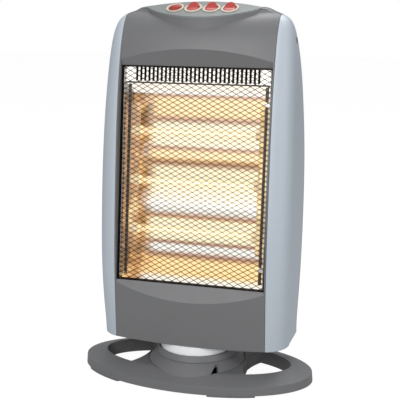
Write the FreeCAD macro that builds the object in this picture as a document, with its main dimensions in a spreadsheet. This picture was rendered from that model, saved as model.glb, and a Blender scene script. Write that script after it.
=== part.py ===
import FreeCAD, Part
import math
import os
import re
import Sketcher
from FreeCAD import Placement, Rotation, Vector

# Driving dimensions: millimetres, and degrees where a name says lean, tilt, turn, span or limit.
SIZES = {
    # oval ring base
    "base_half_width": 162.5,
    "base_half_depth": 85,
    "base_wall": 2.6,
    "pad_height": 2.2,
    "pad_width": 12,
    "long_pad_turn": -65,
    "long_pad_span": 31,
    "short_pad_turn": -165,
    "short_pad_span": 22,
    "rim_rise": 11.6,
    "rim_draft": 1,
    "crown_rise": 7.8,
    "band_side": 30.2,
    "band_front": 28,
    "web_waist": 68,
    "web_corner_out": 82.5,
    "web_corner_reach": 48,
    # hub of the base
    "hub_foot_radius": 70,
    "hub_foot_drop": 3.8,
    "collar_radius": 55.8,
    "collar_bottom": 32.8,
    "collar_lip": 1.4,
    "collar_top_radius": 53.2,
    "collar_top": 41,
    "hub_floor": 30,
    "hub_floor_wall": 3,
    "pocket_turn": 38,
    "pocket_orbit": 62,
    "pocket_depth": 6,
    "pocket_drop": 3.4,
    "pocket_top": 34.2,
    "pocket_left": 8.6,
    "pocket_right": 4.4,
    "pocket_peak": 10.4,
    # base cover
    "cover_thickness": 2.2,
    "cover_gap": 0.4,
    "cover_boss_radius": 4,
    "cover_boss_orbit": 54,
    # turntable and spindle
    "head_bottom": 52.6,
    "disc_radius": 50.5,
    "disc_gap": 0.8,
    "disc_wall": 3,
    "thrust_thickness": 1.5,
    "thrust_width": 5,
    "spindle_radius": 9,
    "spindle_bore": 6,
    "spindle_flange_radius": 20,
    "spindle_flange": 3,
    "running_clearance": 0.06,
    "fit_clearance": 0.05,
    "washer_radius": 15,
    "washer_thickness": 1,
    "nut_radius": 13,
    "nut_height": 6,
    "spindle_end": 1.5,
    # swing drive
    "swing_limit": 35,
    "stop_radius": 2.5,
    "stop_orbit": 37,
    "stop_gap": 0.3,
    "gear_module": 1.5,
    "gear_height": 8,
    "pinion_height": 6.5,
    "pinion_lift": 1.2,
    "shaft_radius": 3.5,
    "shaft_gap": 0.5,
    "motor_radius": 25,
    "motor_height": 20,
    "motor_socket": 4,
    "bracket_rise": 12,
    "bracket_gauge": 1.5,
    "bracket_length": 56,
    "bracket_half_span": 28,
    # screws
    "screw_radius": 1.5,
    "screw_head_radius": 3,
    "screw_head": 1.8,
    "screw_length": 10,
    "disc_screw_orbit": 38,
    "flange_screw_orbit": 14.5,
    # shell of the head
    "head_height": 434.9,
    "head_half_width": 132,
    "dome_rise": 10.3,
    "front_reach": 40,
    "rear_reach": 79,
    "rear_split": 56,
    "bow": 10.5,
    "side_round": 40,
    "rear_round": 14,
    "top_round": 4,
    "seam_half": 105,
    "seam_gap": 0.4,
    "head_wall": 2.4,
    "pan_thickness": 2,
    "pan_gap": 0.3,
    "boss_inset": 14,
    "boss_height": 12,
    "boss_depth": 14,
    "finger_notch_height": 8,
    "finger_notch_depth": 9,
    "finger_notch_width": 16,
    "finger_notch_past": 2.2,
    # louvres of the rear cover
    "louvre_half_width": 70,
    "louvre_height": 4,
    "louvre_pitch": 13,
    "louvre_start": 253,
    # window in the front panel
    "window_bottom": 135.3,
    "window_height": 289,
    "window_half": 103,
    "window_set": 38.2,
    "window_lean": 6.8,
    "tunnel_depth": 12,
    "flare_reach": 30,
    "lower_flare_drop": 52,
    "upper_flare_rise": 84,
    # guard
    "guard_gap": 0.5,
    "guard_bar": 1.6,
    "guard_rim_thickness": 1.6,
    "guard_mesh_thickness": 0.8,
    "guard_strand": 1.8,
    # reflector and lamps
    "sheet_gauge": 0.8,
    "upright_half": 99,
    "upright_gauge": 1.2,
    "upright_depth": 42,
    "upright_top_gap": 3,
    "upright_lift": 2,
    "upright_foot_set": 13,
    "reflector_gap": 0.3,
    "reflector_depth": 38,
    "ridge_depth": 25,
    "strip_depth": 6,
    "strip_height": 22.3,
    "strip_slot_width": 3.4,
    "strip_slot_height": 18.4,
    "strip_slot_pitch": 5.75,
    "strip_edge": 1.1,
    "end_flare": 15,
    "end_margin": 14,
    "lamp_depth": 20,
    "lamp_radius": 5.5,
    "lamp_half_length": 80,
    "lamp_wall": 1,
    "filament_radius": 1.4,
    "cap_radius": 7,
    "cap_length": 22,
    "cap_bore_depth": 6,
    "cap_hole_gap": 0.4,
    # switch console
    "console_half_width": 81,
    "console_tip": 30,
    "pedestal_rear_foot": 494.5,
    "console_front": -1,
    "console_rear": 48,
    "console_height": 486,
    "console_tilt": 20.5,
    "console_wall": 2.4,
    "console_skirt": 21,
    "console_gap": 0.3,
    # rocker switches
    "switch_pitch": 25,
    "switch_setback": 27.5,
    "rocker_half_width": 7.8,
    "rocker_half_length": 9.6,
    "rocker_tip_height": 4,
    "rocker_dip_height": 1.4,
    "rocker_depth": 3.5,
    "rocker_pivot_depth": 1.5,
    "rocker_tilt": 14,
    "rocker_gap": 1.1,
    "rocker_pin_radius": 0.9,
    "rocker_pin_length": 0.9,
    "bezel_wall": 1,
    "bezel_flange": 1.8,
    "bezel_flange_height": 1.4,
    "bezel_neck": 3.2,
    "switch_body_height": 14,
    "switch_body_wall": 0.9,
    "switch_cavity": 5.5,
    "blade_width": 4.8,
    "blade_gauge": 0.8,
    "blade_length": 6,
    "blade_pitch": 8,
    # electrical pieces on the pan and the reflector
    "terminal_length": 40,
    "terminal_width": 22,
    "terminal_height": 16,
    "terminal_offset": 62,
    "tilt_switch_side": 22,
    "tilt_switch_height": 26,
    "tilt_switch_gap": 6,
    "cutout_radius": 8,
    "cutout_height": 9,
    "gland_radius": 7,
    "gland_bore": 3.6,
    "gland_flange_radius": 10,
    "gland_flange": 3,
    "gland_inset": 8,
    "wire_radius": 2.5,
    "wire_side_gap": 8,
    "wire_low": 98,
    "wire_high": 449,
    "wire_drop": 26,
    "wire_bend": 16,
    # what a cut runs past the faces that it opens
    "overrun": 2,
    "beyond": 600,
}

FIXED_TEETH = 30
PINION_TEETH = 10
COVER_SCREWS = 3
DISC_SCREW_TURNS = (90, 210, 330)
LOUVRES = 10
STRIP_SLOTS = 30
MESH_COLUMNS = 8
MESH_ROWS = 19

# A tooth in shares of the gear module.
ADDENDUM_SHARE = 0.7
DEDENDUM_SHARE = 1.1
TOOTH_TIP_SHARE = 0.3
TOOTH_ROOT_SHARE = 0.95

# Sections of the head from the bottom up: height, half width, front, rear, bow of the front and rounding
# of the sides, as shares of head_height, head_half_width, front_reach, rear_reach, bow and side_round.
HEAD_SECTION_SHARES = (
    (0.000, 0.985, -0.950, 0.800, 1.00, 1.00),
    (0.020, 0.986, -0.958, 0.775, 1.00, 1.00),
    (0.080, 0.992, -0.975, 0.785, 1.00, 0.88),
    (0.210, 1.003, -0.993, 0.875, 1.00, 0.72),
    (0.400, 1.008, -0.875, 0.960, 1.00, 0.70),
    (0.580, 1.002, -0.683, 0.990, 1.00, 0.70),
    (0.760, 0.981, -0.415, 0.920, 1.00, 0.70),
    (0.880, 0.959, -0.118, 0.780, 1.00, 0.65),
    (0.935, 0.937, 0.085, 0.700, 1.00, 0.60),
    (0.970, 0.907, 0.285, 0.668, 0.95, 0.60),
    (0.990, 0.866, 0.455, 0.660, 0.80, 0.60),
    (1.000, 0.818, 0.570, 0.655, 0.60, 0.60),
)
# The dome over them, its height as a share of dome_rise.
DOME_SECTION_SHARES = (
    (0.500, 0.720, 0.680, 0.648, 0.40, 0.60),
    (1.000, 0.600, 0.800, 0.640, 0.20, 0.60),
)
ROUND_DEPTH_SHARE = 0.4
BOSS_SECTIONS = (2, 4, 6)
NOTCH_SECTION = 8
GLAND_SECTION = 2

# Heights in the window as shares of window_height.
LAMP_SHARES = (0.24, 0.47, 0.70)
RIDGE_SHARES = (0.355, 0.58)
REFLECTOR_FOOT_SHARE = 0.008
REFLECTOR_LOW_SHARE = 0.10
REFLECTOR_HIGH_SHARE = 0.88
REFLECTOR_BROW_SHARE = 0.92
CUTOUT_SHARE = 0.82

os.makedirs("parts", exist_ok=True)
doc = FreeCAD.newDocument("heater")
sheet = doc.addObject("Spreadsheet::Sheet", "sizes")
for row, (alias, number) in enumerate(SIZES.items(), 1):
    sheet.set(f"A{row}", alias)
    sheet.set(f"B{row}", str(number))
    sheet.setAlias(f"B{row}", alias)
doc.recompute()

AXES = {
    "x": Rotation(Vector(0, 1, 0), 90),
    "y": Rotation(Vector(1, 0, 0), -90),
    "z": Rotation(),
}


def text(expression):
    """An expression in size names, with every name read from the sheet."""
    return re.sub(r"[a-z_]\w*", lambda word: f"sizes.{word[0]}" if word[0] in SIZES else word[0], expression)


def value(expression):
    """The number that an expression in size names gives."""
    return float(sheet.evalExpression(text(expression)))


def bind(item, **expressions):
    """Tie properties of an object to expressions in size names."""
    for name, expression in expressions.items():
        item.setExpression(name, text(expression))


def place(item, corner):
    """Tie the position of an object to three expressions."""
    for axis, expression in zip("xyz", corner):
        item.setExpression(f"Placement.Base.{axis}", text(expression))


def box(name, corner, size):
    item = doc.addObject("Part::Box", name)
    bind(item, Length=size[0], Width=size[1], Height=size[2])
    place(item, corner)
    return item


def rod(name, radius, length, start, axis="z", sweep=None):
    item = doc.addObject("Part::Cylinder", name)
    item.Placement = Placement(Vector(), AXES[axis])
    bind(item, Radius=radius, Height=length)
    if sweep:
        bind(item, Angle=sweep)
    place(item, start)
    return item


def ellipse(name, half_width, half_depth, z):
    """A level ellipse about the upright axis, its longer half axis along X or Y as the sizes say."""
    item = doc.addObject("Part::Ellipse", name)
    wide = value(half_width) >= value(half_depth)
    item.Placement = Placement(Vector(), Rotation(Vector(0, 0, 1), 0 if wide else 90))
    long_half, short_half = (half_width, half_depth) if wide else (half_depth, half_width)
    bind(item, MajorRadius=long_half, MinorRadius=short_half)
    place(item, ("0", "0", z))
    return item


def oval(name, half_width, half_depth, height, z):
    """An upright solid with an elliptic section."""
    item = doc.addObject("Part::Extrusion", name)
    item.Base = ellipse(f"{name}_edge", half_width, half_depth, z)
    item.DirMode = "Custom"
    item.Dir = Vector(0, 0, 1)
    item.Solid = True
    bind(item, LengthFwd=height)
    return item


def fuse(name, *items):
    item = doc.addObject("Part::MultiFuse", name)
    item.Shapes = list(items)
    return item


def cut(name, base, *tools):
    item = doc.addObject("Part::Cut", name)
    item.Base = base
    item.Tool = tools[0] if len(tools) == 1 else fuse(f"{name}_tools", *tools)
    return item


def common(name, *items):
    item = doc.addObject("Part::MultiCommon", name)
    item.Shapes = list(items)
    return item


def outline(body, plane, points):
    """A closed sketch on a base plane of the body, each corner held by two expressions."""
    sketch = body.newObject("Sketcher::SketchObject", f"{body.Name}_outline")
    support = next(part for part in body.Origin.OriginFeatures if part.Role == plane)
    sketch.AttachmentSupport = [(support, "")]
    sketch.MapMode = "FlatFace"
    corners = [Vector(value(across), value(upward), 0) for across, upward in points]
    for number, corner in enumerate(corners):
        following = corners[(number + 1) % len(corners)]
        sketch.addGeometry(Part.LineSegment(corner, following), False)
    for number, corner in enumerate(corners):
        following = (number + 1) % len(corners)
        sketch.addConstraint(Sketcher.Constraint("Coincident", number, 2, following, 1))
    for number, corner in enumerate(corners):
        for kind, amount, expression in zip(("DistanceX", "DistanceY"), corner, points[number]):
            index = sketch.addConstraint(Sketcher.Constraint(kind, -1, 1, number, 1, amount))
            sketch.setExpression(f"Constraints[{index}]", text(expression))
    return sketch


def slab(name, plane, points, thickness):
    """An outline padded evenly to both sides of its plane."""
    body = doc.addObject("PartDesign::Body", name)
    sketch = outline(body, plane, points)
    pad = body.newObject("PartDesign::Pad", f"{name}_pad")
    pad.Profile = sketch
    pad.SideType = "Symmetric"
    bind(pad, Length=thickness)
    return body


def turned(name, points):
    """An outline of radius and height pairs turned about the upright axis."""
    body = doc.addObject("PartDesign::Body", name)
    sketch = outline(body, "XZ_Plane", points)
    turn = body.newObject("PartDesign::Revolution", f"{name}_turn")
    turn.Profile = sketch
    turn.ReferenceAxis = (sketch, ["V_Axis"])
    turn.Angle = 360
    return body


def solid(name, shape, placement=Placement()):
    item = doc.addObject("Part::Feature", name)
    item.Shape = shape
    item.Placement = placement
    return item


def spread(name, source, placements):
    """Copies of one finished piece, kept together as a group of solids."""
    doc.recompute()
    copies = []
    for placement in placements:
        copy = source.Shape.copy()
        copy.Placement = placement.multiply(copy.Placement)
        copies.append(copy)
    return solid(name, Part.makeCompound(copies))


def ring_of(turns, orbit, height):
    """Places on a level circle about the upright axis."""
    return [
        Placement(Vector(), Rotation(Vector(0, 0, 1), turn)).multiply(
            Placement(Vector(value(orbit), 0, value(height)), Rotation())
        )
        for turn in turns
    ]


def screw(name, shank):
    """A pan-head screw standing on its head's seat, with the shank hanging down."""
    return fuse(
        name,
        rod(f"{name}_head", "screw_head_radius", "screw_head", ("0", "0", "0")),
        rod(f"{name}_shank", "screw_radius", shank, ("0", "0", f"-({shank})")),
    )


# Oval ring: a rim with a little draft, a top that climbs inward, and two openings beside the hub.
rim_top = "(pad_height + rim_rise)"
ring_top = f"({rim_top} + crown_rise)"
inner_width = "(base_half_width - band_side)"
inner_depth = "(base_half_depth - band_front)"
web_round = "((web_corner_out - web_waist)^2 + web_corner_reach^2) / (2 * (web_corner_out - web_waist))"


def ring_solid(name, inset, low):
    loft = doc.addObject("Part::Loft", name)
    loft.Sections = [
        ellipse(f"{name}_foot", f"base_half_width - {inset}", f"base_half_depth - {inset}", low),
        ellipse(
            f"{name}_rim",
            f"base_half_width - rim_draft - {inset}",
            f"base_half_depth - rim_draft - {inset}",
            f"{rim_top} - {inset}",
        ),
        ellipse(f"{name}_crown", inner_width, inner_depth, f"{ring_top} - {inset}"),
    ]
    loft.Solid = True
    loft.Ruled = True
    return loft


def ring_openings(name, growth):
    """Both openings of the ring, grown by a wall."""
    tall = f"{ring_top} + 2 * overrun"
    field = oval(f"{name}_field", f"{inner_width} + {growth}", f"{inner_depth} + {growth}", tall, "-overrun")
    ends = [
        rod(f"{name}_{side}", f"{web_round} + {growth}", tall, (f"{sign}(web_waist + {web_round})", "0", "-overrun"))
        for side, sign in (("right", "+"), ("left", "-"))
    ]
    return common(f"{name}_openings", field, fuse(f"{name}_ends", *ends))


hub_inner = "(hub_foot_radius - base_wall)"
bore = "(disc_radius + disc_gap)"
floor_under = "(hub_floor - hub_floor_wall)"
spindle_hole = "spindle_radius + fit_clearance"
cavity = cut("ring_cavity", ring_solid("ring_inner", "base_wall", "pad_height - overrun"), ring_openings("wall", "base_wall"))
ring = cut(
    "ring",
    ring_solid("ring_outer", "0", "pad_height"),
    ring_openings("clear", "0"),
    cavity,
    rod("hub_clearing", hub_inner, f"{ring_top} + 2 * overrun", ("0", "0", "-overrun")),
)
hub = turned(
    "hub",
    [
        (spindle_hole, "hub_floor"),
        (bore, "hub_floor"),
        (bore, "collar_top"),
        ("collar_top_radius", "collar_top"),
        ("collar_radius", "collar_bottom"),
        ("collar_radius - collar_lip", "collar_bottom - collar_lip / 2"),
        ("hub_foot_radius", f"{ring_top} - hub_foot_drop"),
        ("hub_foot_radius", "pad_height"),
        (hub_inner, "pad_height"),
        (hub_inner, f"{ring_top} - hub_foot_drop - base_wall"),
        ("collar_radius - base_wall", floor_under),
        (spindle_hole, floor_under),
    ],
)
pocket = slab(
    "hub_pocket",
    "XZ_Plane",
    [
        ("-pocket_left", f"{ring_top} - pocket_drop"),
        ("pocket_right", f"{ring_top} - pocket_drop"),
        ("pocket_peak", "pocket_top"),
    ],
    "2 * pocket_depth",
)
pocket.Placement = Placement(Vector(), Rotation(Vector(0, 0, 1), value("pocket_turn"))).multiply(
    Placement(Vector(0, -value("pocket_orbit"), 0), Rotation())
)
cover_top = "(pad_height + cover_thickness)"
boss = rod("cover_boss", "cover_boss_radius", f"{floor_under} - {cover_top}", ("0", "0", cover_top))
boss_turns = [360 * number / COVER_SCREWS + 90 for number in range(COVER_SCREWS)]
bosses = spread("cover_bosses", boss, ring_of(boss_turns, "cover_boss_orbit", "0"))
stop_turn = 2 * math.degrees(math.asin(value("(stop_radius + stop_gap / 2) / stop_orbit")))
stop = rod("base_stop", "stop_radius", "gear_height", ("0", "0", "0"))
stop_turns = [180 + side * (value("swing_limit") + stop_turn) for side in (-1, 1)]
stops = spread("base_stops", stop, ring_of(stop_turns, "stop_orbit", "hub_floor"))
screw_hole = "screw_radius + fit_clearance"
boss_hole = rod("boss_hole", screw_hole, "screw_length + overrun", ("0", "0", f"{cover_top} - overrun"))
flange_hole = rod("flange_hole", screw_hole, "hub_floor_wall", ("0", "0", floor_under))
base_ring = cut(
    "base_ring",
    fuse("base_blank", ring, hub, bosses, stops),
    pocket,
    spread("boss_holes", boss_hole, ring_of(boss_turns, "cover_boss_orbit", "0")),
    spread("flange_holes", flange_hole, ring_of(boss_turns, "flange_screw_orbit", "0")),
)

# Cover under the hub and the screws that hold it.
cover_radius = "hub_foot_radius - base_wall - cover_gap"
cover_hole = rod("cover_hole", screw_hole, "cover_thickness", ("0", "0", "pad_height"))
base_cover = cut(
    "base_cover",
    rod("cover_blank", cover_radius, "cover_thickness", ("0", "0", "pad_height")),
    spread("cover_holes", cover_hole, ring_of(boss_turns, "cover_boss_orbit", "0")),
)
upside_down = Placement(Vector(), Rotation(Vector(1, 0, 0), 180))
cover_screws = spread(
    "cover_screws",
    screw("cover_screw", "screw_length"),
    [spot.multiply(upside_down) for spot in ring_of(boss_turns, "cover_boss_orbit", "pad_height")],
)

# Pads under the rim: two unlike pads and the same two again half a turn round.
pad_band = cut(
    "pad_band",
    oval("pad_outer", "base_half_width", "base_half_depth", "pad_height", "0"),
    oval("pad_inner", "base_half_width - pad_width", "base_half_depth - pad_width", "pad_height", "0"),
)
pad_sector_radius = "base_half_width + overrun"
pad_sectors = []
for name, turn, span in (("long", "long_pad_turn", "long_pad_span"), ("short", "short_pad_turn", "short_pad_span")):
    sector = rod(f"{name}_sector", pad_sector_radius, "pad_height", ("0", "0", "0"), sweep=span)
    pad_sectors.append(spread(f"{name}_sectors", sector, ring_of((value(turn), value(turn) + 180), "0", "0")))
foot_pads = common("foot_pads", pad_band, fuse("pad_field", *pad_sectors))

# Spindle: a hollow post screwed to the hub floor, with a nut over the bottom pan of the head.
pan_top = "(head_bottom + pan_thickness)"
nut_bottom = f"({pan_top} + washer_thickness)"
spindle_top = f"{nut_bottom} + nut_height + spindle_end"
spindle_blank = turned(
    "spindle_blank",
    [
        ("spindle_bore", f"{floor_under} - spindle_flange"),
        ("spindle_flange_radius", f"{floor_under} - spindle_flange"),
        ("spindle_flange_radius", floor_under),
        ("spindle_radius", floor_under),
        ("spindle_radius", spindle_top),
        ("spindle_bore", spindle_top),
    ],
)
spindle_screw_hole = rod(
    "spindle_screw_hole", screw_hole, "spindle_flange", ("0", "0", f"{floor_under} - spindle_flange")
)
spindle = cut(
    "spindle",
    spindle_blank,
    spread("spindle_holes", spindle_screw_hole, ring_of(boss_turns, "flange_screw_orbit", "0")),
)
spindle_screws = spread(
    "spindle_screws",
    screw("spindle_screw", "spindle_flange + hub_floor_wall"),
    [
        spot.multiply(upside_down)
        for spot in ring_of(boss_turns, "flange_screw_orbit", f"{floor_under} - spindle_flange")
    ],
)
nut_blank = doc.addObject("Part::Prism", "nut_blank")
nut_blank.Polygon = 6
bind(nut_blank, Circumradius="nut_radius", Height="nut_height")
place(nut_blank, ("0", "0", nut_bottom))
spindle_nut = cut("spindle_nut", nut_blank, rod("nut_bore", spindle_hole, "nut_height", ("0", "0", nut_bottom)))
turning_hole = "spindle_radius + running_clearance"
spindle_washer = cut(
    "spindle_washer",
    rod("washer_blank", "washer_radius", "washer_thickness", ("0", "0", pan_top)),
    rod("washer_bore", turning_hole, "washer_thickness", ("0", "0", pan_top)),
)
thrust_top = "(hub_floor + thrust_thickness)"
thrust_ring = cut(
    "thrust_ring",
    rod("thrust_blank", "disc_radius", "thrust_thickness", ("0", "0", "hub_floor")),
    rod("thrust_bore", "disc_radius - thrust_width", "thrust_thickness", ("0", "0", "hub_floor")),
)


def gear_face(teeth, phase):
    """A spur gear's outline with straight flanks, a tooth centred at the phase angle."""
    module = value("gear_module")
    pitch_radius = module * teeth / 2
    tip = pitch_radius + ADDENDUM_SHARE * module
    root = pitch_radius - DEDENDUM_SHARE * module
    corners = []
    for number in range(teeth):
        middle = phase + 2 * math.pi * number / teeth
        for radius, half in (
            (root, -TOOTH_ROOT_SHARE * module),
            (tip, -TOOTH_TIP_SHARE * module),
            (tip, TOOTH_TIP_SHARE * module),
            (root, TOOTH_ROOT_SHARE * module),
        ):
            angle = middle + half / radius
            corners.append(Vector(radius * math.cos(angle), radius * math.sin(angle), 0))
    return Part.Face(Part.makePolygon(corners + corners[:1]))


# Fixed gear on the hub floor and the pinion that walks round it: a tooth meets a gap on +X.
pinion_orbit = f"gear_module * {FIXED_TEETH + PINION_TEETH} / 2"
gear_blank = solid(
    "gear_blank",
    gear_face(FIXED_TEETH, 0).extrude(Vector(0, 0, value("gear_height"))),
    Placement(Vector(0, 0, value("hub_floor")), Rotation()),
)
gear_screw_relief = rod("gear_screw_relief", screw_hole, "gear_height", ("0", "0", "hub_floor"))
fixed_gear = cut(
    "fixed_gear",
    gear_blank,
    rod("gear_bore", spindle_hole, "gear_height", ("0", "0", "hub_floor")),
    spread("gear_screw_reliefs", gear_screw_relief, ring_of(boss_turns, "flange_screw_orbit", "0")),
)
bracket_top = f"({pan_top} + bracket_rise)"
pinion_bottom = "(hub_floor + pinion_lift)"
pinion_wheel = solid(
    "pinion_wheel",
    gear_face(PINION_TEETH, math.pi + math.pi / PINION_TEETH).extrude(Vector(0, 0, value("pinion_height"))),
    Placement(Vector(value(pinion_orbit), 0, value(pinion_bottom)), Rotation()),
)
shaft_end = f"({bracket_top} + motor_socket)"
drive_pinion = fuse(
    "drive_pinion",
    pinion_wheel,
    rod("motor_shaft", "shaft_radius", f"{shaft_end} - {pinion_bottom}", (pinion_orbit, "0", pinion_bottom)),
)

# Turntable disc: a cup turned over, riding on the thrust ring, with the swing stop under its top.
disc_under = "(head_bottom - disc_wall)"
disc_blank = turned(
    "disc_blank",
    [
        (turning_hole, disc_under),
        ("disc_radius - disc_wall", disc_under),
        ("disc_radius - disc_wall", thrust_top),
        ("disc_radius", thrust_top),
        ("disc_radius", "head_bottom"),
        (turning_hole, "head_bottom"),
    ],
)
stop_bottom = "(hub_floor + stop_gap)"
disc_stop = rod("disc_stop", "stop_radius", f"{disc_under} - {stop_bottom}", ("-stop_orbit", "0", stop_bottom))
shaft_hole = "shaft_radius + shaft_gap"
disc_screw_depth = "(pan_thickness + disc_wall)"
disc_screw_hole = rod("disc_screw_hole", screw_hole, disc_screw_depth, ("0", "0", disc_under))
disc_screw_holes = spread("disc_screw_holes", disc_screw_hole, ring_of(DISC_SCREW_TURNS, "disc_screw_orbit", "0"))
shaft_way = rod("shaft_way", shaft_hole, f"{bracket_top} - {disc_under}", (pinion_orbit, "0", disc_under))
turntable_disc = cut(
    "turntable_disc",
    fuse("disc_with_stop", disc_blank, disc_stop),
    disc_screw_holes,
    shaft_way,
)
disc_screws = spread(
    "disc_screws",
    screw("disc_screw", disc_screw_depth),
    ring_of(DISC_SCREW_TURNS, "disc_screw_orbit", pan_top),
)


def head_section(shares, inset, z):
    """One level section of the head, drawn in by an inset."""
    width = value("head_half_width") * shares[1] - inset
    front = value("front_reach") * shares[2] + inset
    rear = value("rear_reach") * shares[3] - inset
    edge = min(value("seam_half"), width - value("top_round"))
    side_depth = min(value("side_round") * shares[5], ROUND_DEPTH_SHARE * (rear - front))
    rear_round = min(value("rear_round"), ROUND_DEPTH_SHARE * (rear - front))
    nose = front - value("bow") * shares[4]
    diagonal = math.sqrt(0.5)

    def point(x, y):
        return Vector(x, y, z)

    def corner(side, centre_x, centre_y, reach_x, reach_y, sense):
        middle = point(side * (centre_x + diagonal * reach_x), centre_y + sense * diagonal * reach_y)
        sideways = point(side * (centre_x + reach_x), centre_y)
        lengthwise = point(side * centre_x, centre_y + sense * reach_y)
        return (lengthwise, middle, sideways) if side * sense < 0 else (sideways, middle, lengthwise)

    right_front = corner(1, edge, front + side_depth, width - edge, side_depth, -1)
    right_rear = corner(1, width - rear_round, rear - rear_round, rear_round, rear_round, 1)
    left_rear = corner(-1, width - rear_round, rear - rear_round, rear_round, rear_round, 1)
    left_front = corner(-1, edge, front + side_depth, width - edge, side_depth, -1)
    edges = [
        Part.Arc(point(-edge, front), point(0, nose), point(edge, front)).toShape(),
        Part.Arc(*right_front).toShape(),
        Part.makeLine(right_front[2], right_rear[0]),
        Part.Arc(*right_rear).toShape(),
        Part.makeLine(right_rear[2], left_rear[0]),
        Part.Arc(*left_rear).toShape(),
        Part.makeLine(left_rear[2], left_front[0]),
        Part.Arc(*left_front).toShape(),
    ]
    return Part.Wire(edges)


def head_solid(name, inset, low):
    """The whole head, drawn in by an inset and started at a given height."""
    bottom = value("head_bottom")
    top = bottom + value("head_height") - inset
    wires = [head_section(HEAD_SECTION_SHARES[0], inset, low)]
    for shares in HEAD_SECTION_SHARES[1:]:
        wires.append(head_section(shares, inset, bottom + shares[0] * (top - bottom)))
    for shares in DOME_SECTION_SHARES:
        wires.append(head_section(shares, inset, top + shares[0] * value("dome_rise")))
    return solid(name, Part.makeLoft(wires, True, False))


def section_height(number):
    return value("head_bottom") + HEAD_SECTION_SHARES[number][0] * value("head_height")


def section_rear(number):
    return value("rear_reach") * HEAD_SECTION_SHARES[number][3]


head_outer = head_solid("head_outer", 0, value("head_bottom"))
head_inner = head_solid("head_inner", value("head_wall"), value("head_bottom - overrun"))
head_shell = cut("head_shell", head_outer, head_inner)
middle_half = "(seam_half - seam_gap / 2)"
side_edge = "(seam_half + seam_gap / 2)"


def across(name, low, high, z="0", height="beyond"):
    """A wide block between two depths, for parting the shell."""
    return box(name, ("-beyond / 2", low, z), ("beyond", f"({high}) - ({low})", height))


# Window in the front panel: a tunnel to the guard, flared above and below through the bowed front.
guard_y = "(-window_set)"
window_top_y = "(window_height * sin(window_lean) - window_set)"
window_top = "(window_bottom + window_height * cos(window_lean))"


def window_cut(name, growth, depth, half):
    return slab(
        name,
        "YZ_Plane",
        [
            (f"{guard_y} + {depth}", f"window_bottom - {growth}"),
            (guard_y, f"window_bottom - {growth}"),
            (f"{guard_y} - flare_reach", f"window_bottom - lower_flare_drop - 2 * ({growth})"),
            (f"{window_top_y} - flare_reach", f"{window_top} + upper_flare_rise + 2 * ({growth})"),
            (window_top_y, f"{window_top} + {growth}"),
            (f"{window_top_y} + {depth}", f"{window_top} + {growth}"),
        ],
        f"2 * {half}",
    )


def lens_solid(name, inset, low, high):
    """The console's plan, two arcs that meet in tips, as an upright solid."""
    tip = value("console_tip")
    half = value("console_half_width") - inset * value("console_half_width / (console_tip - console_front)")
    right = Vector(half, tip, low)
    left = Vector(-half, tip, low)
    front = Vector(0, value("console_front") + inset, low)
    rear = Vector(0, value("console_rear") - inset, low)
    edge = Part.Wire([Part.Arc(left, front, right).toShape(), Part.Arc(right, rear, left).toShape()])
    return solid(name, Part.Face(edge).extrude(Vector(0, 0, high - low)))


def above_slope(name, drop):
    """Everything over the console's sloping top, lowered by a drop."""
    reach = value("beyond")
    start = Placement(
        Vector(0, value("console_front"), value("console_height") - drop),
        Rotation(Vector(1, 0, 0), value("console_tilt")),
    )
    return solid(name, Part.makeBox(reach, reach, reach, Vector(-reach / 2, -reach / 2, 0)), start)


skirt_bottom = value("console_height - console_skirt")
lens_top = value("console_height + console_rear + console_half_width")
plate_drop = value("console_wall / cos(console_tilt)")
middle_block = box(
    "middle_block", (f"-{middle_half}", "rear_split - beyond", "0"), (f"2 * {middle_half}", "beyond", "beyond")
)
front_blank = cut(
    "front_blank",
    common("front_mass", head_outer, middle_block),
    window_cut("window_opening", "0", "tunnel_depth + overrun", "window_half"),
    cut("front_hollow", head_inner, window_cut("window_walls", "head_wall", "tunnel_depth", "seam_half")),
)
pedestal = cut(
    "pedestal",
    lens_solid("pedestal_blank", 0, skirt_bottom, lens_top),
    above_slope("pedestal_top", plate_drop),
    across("pedestal_rear", "console_tip", "beyond", "0", "pedestal_rear_foot"),
)
front_panel = cut(
    "front_panel",
    fuse("front_stock", front_blank, pedestal),
    lens_solid("console_room", value("console_wall"), skirt_bottom - value("overrun"), lens_top),
    common(
        "plate_room",
        lens_solid("plate_field", -value("console_gap"), skirt_bottom, lens_top),
        above_slope("plate_seat", plate_drop),
    ),
)

# Side panels with bosses behind the rear cover, and a finger notch in the rear edge of each.


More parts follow.
